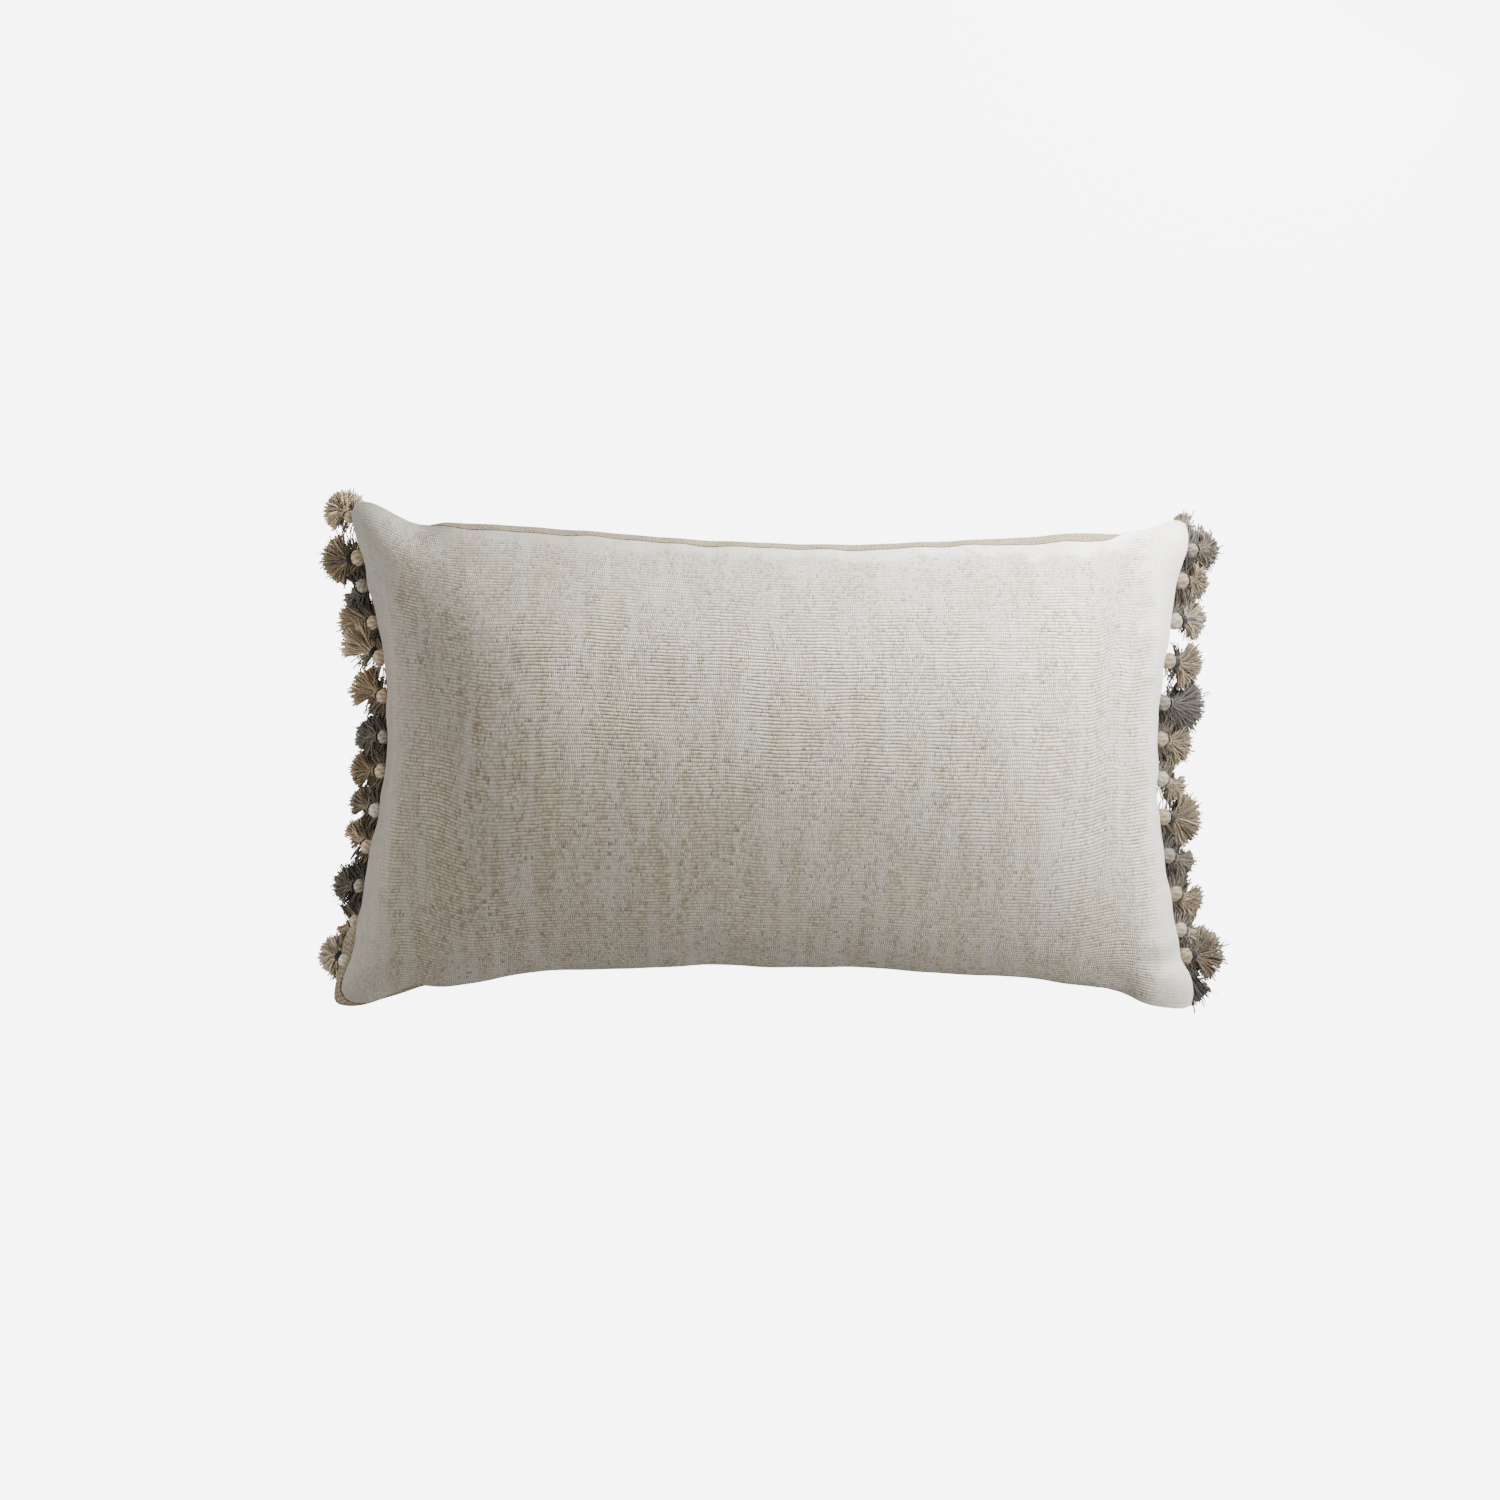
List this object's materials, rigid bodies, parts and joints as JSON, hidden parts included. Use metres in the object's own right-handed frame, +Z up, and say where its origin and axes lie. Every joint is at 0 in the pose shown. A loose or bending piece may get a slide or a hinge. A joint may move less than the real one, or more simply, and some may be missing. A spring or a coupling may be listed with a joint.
{
  "type": "throw pillow",
  "caption": "Lumbar throw pillow with a chenille front, linen back, hidden zip and yarn tassels along both short sides.",
  "frame": {"origin": "middle of the footprint, on the surface that the pillow lies on", "axes": "+X along the length, towards the side with the closed end of the zip; +Y across it, away from the zip; +Z up, out of the front panel"},
  "size_m": [0.5636, 0.3088, 0.1325],
  "materials": {
    "front_chenille": "ivory chenille jacquard, smooth pile and ribbed ground in a worn pattern, soft sheen",
    "back_linen": "tan plain-weave linen, matte",
    "casing_cotton": "plain white cotton",
    "fibre_filling": "white polyester fibre",
    "trim_tape": "woven beige tape",
    "yarn_ivory": "cotton yarn, matte",
    "yarn_beige": "cotton yarn, matte",
    "yarn_tan": "cotton yarn, matte",
    "yarn_brown": "cotton yarn, matte",
    "yarn_taupe": "cotton yarn, matte",
    "yarn_grey": "cotton yarn, matte",
    "wrap_thread": "black thread, faint sheen",
    "zip_tape": "woven polyester tape",
    "zip_coil": "moulded nylon coil",
    "zip_metal": "antique brass, satin"
  },
  "bodies": {
    "cover": {"cover_front_panel": "front_chenille", "cover_back_panel": "back_linen", "insert_casing_front": "casing_cotton", "insert_casing_back": "casing_cotton", "filling": "fibre_filling", "trim_tape_left": "trim_tape", "trim_tape_right": "trim_tape", "zip_tape_front": "zip_tape", "zip_tape_back": "zip_tape", "zip_coil_front": "zip_coil", "zip_coil_back": "zip_coil", "zip_stop_open_end": "zip_metal", "zip_stop_closed_end": "zip_metal"},
    "zip_slider": {"zip_slider": "zip_metal"},
    "zip_pull_tab": {"zip_pull_tab": "zip_metal"},
    "tassel_left_01": {"tassel_left_01": "yarn_beige"},
    "tassel_left_02": {"tassel_left_02": "yarn_brown", "tassel_left_02_neck_wrap": "wrap_thread"},
    "tassel_left_03": {"tassel_left_03": "yarn_grey"},
    "tassel_left_04": {"tassel_left_04": "yarn_brown"},
    "tassel_left_05": {"tassel_left_05": "yarn_beige", "tassel_left_05_neck_wrap": "wrap_thread"},
    "tassel_left_06": {"tassel_left_06": "yarn_tan"},
    "tassel_left_07": {"tassel_left_07": "yarn_grey"},
    "tassel_left_08": {"tassel_left_08": "yarn_brown"},
    "tassel_left_09": {"tassel_left_09": "yarn_taupe"},
    "tassel_left_10": {"tassel_left_10": "yarn_tan"},
    "tassel_left_11": {"tassel_left_11": "yarn_grey"},
    "tassel_left_12": {"tassel_left_12": "yarn_brown"},
    "tassel_left_13": {"tassel_left_13": "yarn_ivory", "tassel_left_13_neck_wrap": "wrap_thread"},
    "tassel_left_14": {"tassel_left_14": "yarn_brown"},
    "tassel_right_01": {"tassel_right_01": "yarn_tan"},
    "tassel_right_02": {"tassel_right_02": "yarn_taupe"},
    "tassel_right_03": {"tassel_right_03": "yarn_tan"},
    "tassel_right_04": {"tassel_right_04": "yarn_ivory", "tassel_right_04_neck_wrap": "wrap_thread"},
    "tassel_right_05": {"tassel_right_05": "yarn_tan", "tassel_right_05_neck_wrap": "wrap_thread"},
    "tassel_right_06": {"tassel_right_06": "yarn_grey"},
    "tassel_right_07": {"tassel_right_07": "yarn_tan"},
    "tassel_right_08": {"tassel_right_08": "yarn_beige"},
    "tassel_right_09": {"tassel_right_09": "yarn_tan", "tassel_right_09_neck_wrap": "wrap_thread"},
    "tassel_right_10": {"tassel_right_10": "yarn_taupe"},
    "tassel_right_11": {"tassel_right_11": "yarn_tan"},
    "tassel_right_12": {"tassel_right_12": "yarn_ivory"},
    "tassel_right_13": {"tassel_right_13": "yarn_brown", "tassel_right_13_neck_wrap": "wrap_thread"},
    "tassel_right_14": {"tassel_right_14": "yarn_grey"}
  },
  "joints": [
    {"name": "zip_run", "type": "slide", "parent": "cover", "child": "zip_slider", "axis": [-1, 0, 0], "range_m": [0, 0.24]},
    {"name": "zip_pull_flip", "type": "hinge", "parent": "zip_slider", "child": "zip_pull_tab", "pos_m": [0.12, -0.12541, 0.04956], "axis": [0, -0.5209, 0.8536], "range_deg": [0, 175]},
    {"name": "tassel_left_01_swing", "type": "hinge", "parent": "cover", "child": "tassel_left_01", "pos_m": [-0.25544, 0.145, 0.0595], "axis": [0, 1, 0], "range_deg": [-4, 45], "stiffness_Nm_per_rad": 0.0005},
    {"name": "tassel_left_02_swing", "type": "hinge", "parent": "cover", "child": "tassel_left_02", "pos_m": [-0.24843, 0.12269, 0.0595], "axis": [0, 1, 0], "range_deg": [-4, 45], "stiffness_Nm_per_rad": 0.0005},
    {"name": "tassel_left_03_swing", "type": "hinge", "parent": "cover", "child": "tassel_left_03", "pos_m": [-0.24246, 0.10038, 0.0595], "axis": [0, 1, 0], "range_deg": [-4, 45], "stiffness_Nm_per_rad": 0.0005},
    {"name": "tassel_left_04_swing", "type": "hinge", "parent": "cover", "child": "tassel_left_04", "pos_m": [-0.23756, 0.07808, 0.0595], "axis": [0, 1, 0], "range_deg": [-4, 45], "stiffness_Nm_per_rad": 0.0005},
    {"name": "tassel_left_05_swing", "type": "hinge", "parent": "cover", "child": "tassel_left_05", "pos_m": [-0.23378, 0.05577, 0.0595], "axis": [0, 1, 0], "range_deg": [-4, 45], "stiffness_Nm_per_rad": 0.0005},
    {"name": "tassel_left_06_swing", "type": "hinge", "parent": "cover", "child": "tassel_left_06", "pos_m": [-0.23122, 0.03346, 0.0595], "axis": [0, 1, 0], "range_deg": [-4, 45], "stiffness_Nm_per_rad": 0.0005},
    {"name": "tassel_left_07_swing", "type": "hinge", "parent": "cover", "child": "tassel_left_07", "pos_m": [-0.23003, 0.01115, 0.0595], "axis": [0, 1, 0], "range_deg": [-4, 45], "stiffness_Nm_per_rad": 0.0005},
    {"name": "tassel_left_08_swing", "type": "hinge", "parent": "cover", "child": "tassel_left_08", "pos_m": [-0.23303, -0.01115, 0.0595], "axis": [0, 1, 0], "range_deg": [-4, 45], "stiffness_Nm_per_rad": 0.0005},
    {"name": "tassel_left_09_swing", "type": "hinge", "parent": "cover", "child": "tassel_left_09", "pos_m": [-0.23691, -0.03346, 0.0595], "axis": [0, 1, 0], "range_deg": [-4, 45], "stiffness_Nm_per_rad": 0.0005},
    {"name": "tassel_left_10_swing", "type": "hinge", "parent": "cover", "child": "tassel_left_10", "pos_m": [-0.24091, -0.05577, 0.0595], "axis": [0, 1, 0], "range_deg": [-4, 45], "stiffness_Nm_per_rad": 0.0005},
    {"name": "tassel_left_11_swing", "type": "hinge", "parent": "cover", "child": "tassel_left_11", "pos_m": [-0.24498, -0.07808, 0.0595], "axis": [0, 1, 0], "range_deg": [-4, 45], "stiffness_Nm_per_rad": 0.0005},
    {"name": "tassel_left_12_swing", "type": "hinge", "parent": "cover", "child": "tassel_left_12", "pos_m": [-0.2491, -0.10038, 0.0595], "axis": [0, 1, 0], "range_deg": [-4, 45], "stiffness_Nm_per_rad": 0.0005},
    {"name": "tassel_left_13_swing", "type": "hinge", "parent": "cover", "child": "tassel_left_13", "pos_m": [-0.25327, -0.12269, 0.0595], "axis": [0, 1, 0], "range_deg": [-4, 45], "stiffness_Nm_per_rad": 0.0005},
    {"name": "tassel_left_14_swing", "type": "hinge", "parent": "cover", "child": "tassel_left_14", "pos_m": [-0.25747, -0.145, 0.0595], "axis": [0, 1, 0], "range_deg": [-4, 45], "stiffness_Nm_per_rad": 0.0005},
    {"name": "tassel_right_01_swing", "type": "hinge", "parent": "cover", "child": "tassel_right_01", "pos_m": [0.25613, 0.145, 0.0595], "axis": [0, -1, 0], "range_deg": [-4, 45], "stiffness_Nm_per_rad": 0.0005},
    {"name": "tassel_right_02_swing", "type": "hinge", "parent": "cover", "child": "tassel_right_02", "pos_m": [0.25041, 0.12269, 0.0595], "axis": [0, -1, 0], "range_deg": [-4, 45], "stiffness_Nm_per_rad": 0.0005},
    {"name": "tassel_right_03_swing", "type": "hinge", "parent": "cover", "child": "tassel_right_03", "pos_m": [0.24538, 0.10038, 0.0595], "axis": [0, -1, 0], "range_deg": [-4, 45], "stiffness_Nm_per_rad": 0.0005},
    {"name": "tassel_right_04_swing", "type": "hinge", "parent": "cover", "child": "tassel_right_04", "pos_m": [0.24107, 0.07808, 0.0595], "axis": [0, -1, 0], "range_deg": [-4, 45], "stiffness_Nm_per_rad": 0.0005},
    {"name": "tassel_right_05_swing", "type": "hinge", "parent": "cover", "child": "tassel_right_05", "pos_m": [0.23756, 0.05577, 0.0595], "axis": [0, -1, 0], "range_deg": [-4, 45], "stiffness_Nm_per_rad": 0.0005},
    {"name": "tassel_right_06_swing", "type": "hinge", "parent": "cover", "child": "tassel_right_06", "pos_m": [0.23491, 0.03346, 0.0595], "axis": [0, -1, 0], "range_deg": [-4, 45], "stiffness_Nm_per_rad": 0.0005},
    {"name": "tassel_right_07_swing", "type": "hinge", "parent": "cover", "child": "tassel_right_07", "pos_m": [0.2333, 0.01115, 0.0595], "axis": [0, -1, 0], "range_deg": [-4, 45], "stiffness_Nm_per_rad": 0.0005},
    {"name": "tassel_right_08_swing", "type": "hinge", "parent": "cover", "child": "tassel_right_08", "pos_m": [0.23313, -0.01115, 0.0595], "axis": [0, -1, 0], "range_deg": [-4, 45], "stiffness_Nm_per_rad": 0.0005},
    {"name": "tassel_right_09_swing", "type": "hinge", "parent": "cover", "child": "tassel_right_09", "pos_m": [0.23416, -0.03346, 0.0595], "axis": [0, -1, 0], "range_deg": [-4, 45], "stiffness_Nm_per_rad": 0.0005},
    {"name": "tassel_right_10_swing", "type": "hinge", "parent": "cover", "child": "tassel_right_10", "pos_m": [0.23623, -0.05577, 0.0595], "axis": [0, -1, 0], "range_deg": [-4, 45], "stiffness_Nm_per_rad": 0.0005},
    {"name": "tassel_right_11_swing", "type": "hinge", "parent": "cover", "child": "tassel_right_11", "pos_m": [0.23934, -0.07808, 0.0595], "axis": [0, -1, 0], "range_deg": [-4, 45], "stiffness_Nm_per_rad": 0.0005},
    {"name": "tassel_right_12_swing", "type": "hinge", "parent": "cover", "child": "tassel_right_12", "pos_m": [0.24348, -0.10038, 0.0595], "axis": [0, -1, 0], "range_deg": [-4, 45], "stiffness_Nm_per_rad": 0.0005},
    {"name": "tassel_right_13_swing", "type": "hinge", "parent": "cover", "child": "tassel_right_13", "pos_m": [0.24866, -0.12269, 0.0595], "axis": [0, -1, 0], "range_deg": [-4, 45], "stiffness_Nm_per_rad": 0.0005},
    {"name": "tassel_right_14_swing", "type": "hinge", "parent": "cover", "child": "tassel_right_14", "pos_m": [0.25487, -0.145, 0.0595], "axis": [0, -1, 0], "range_deg": [-4, 45], "stiffness_Nm_per_rad": 0.0005}
  ]
}
